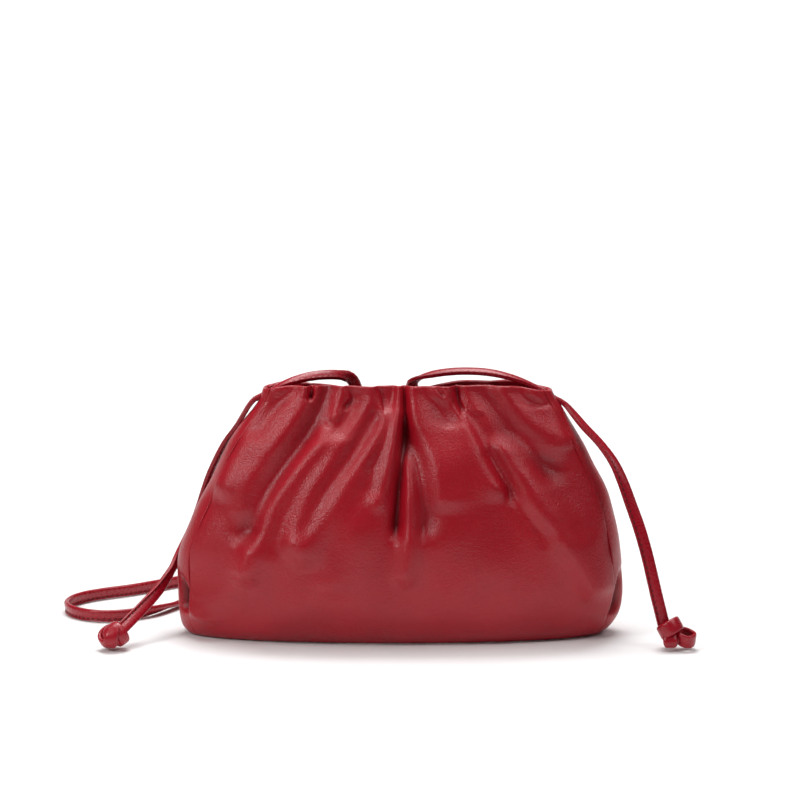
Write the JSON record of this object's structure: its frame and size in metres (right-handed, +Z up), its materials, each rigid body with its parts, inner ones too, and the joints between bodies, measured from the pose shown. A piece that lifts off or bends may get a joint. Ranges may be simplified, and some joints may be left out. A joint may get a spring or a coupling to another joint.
{
  "type": "gathered leather pouch bag",
  "caption": "Small soft red leather pouch with a gathered mouth, folded-in sides and a flat leather lace knotted at its ends.",
  "frame": {"origin": "middle of the pouch's bounding box, lace left out, on the surface that it stands on", "axes": "+X to the right seen from the front, along the mouth; +Y from the front to the back; +Z up"},
  "size_m": [0.3191, 0.1795, 0.1339],
  "materials": {
    "pouch_leather": "soft satin red leather with a fine grain",
    "lace_leather": "folded and stitched red leather, slightly glossier than the pouch"
  },
  "bodies": {
    "root": {"front_panel": "pouch_leather", "back_panel": "pouch_leather", "left_gusset": "pouch_leather", "right_gusset": "pouch_leather", "base_panel": "pouch_leather", "strap_left_end": "lace_leather", "shoulder_strap": "lace_leather", "strap_right_end": "lace_leather", "left_knot": "lace_leather", "right_knot": "lace_leather"}
  },
  "joints": []
}
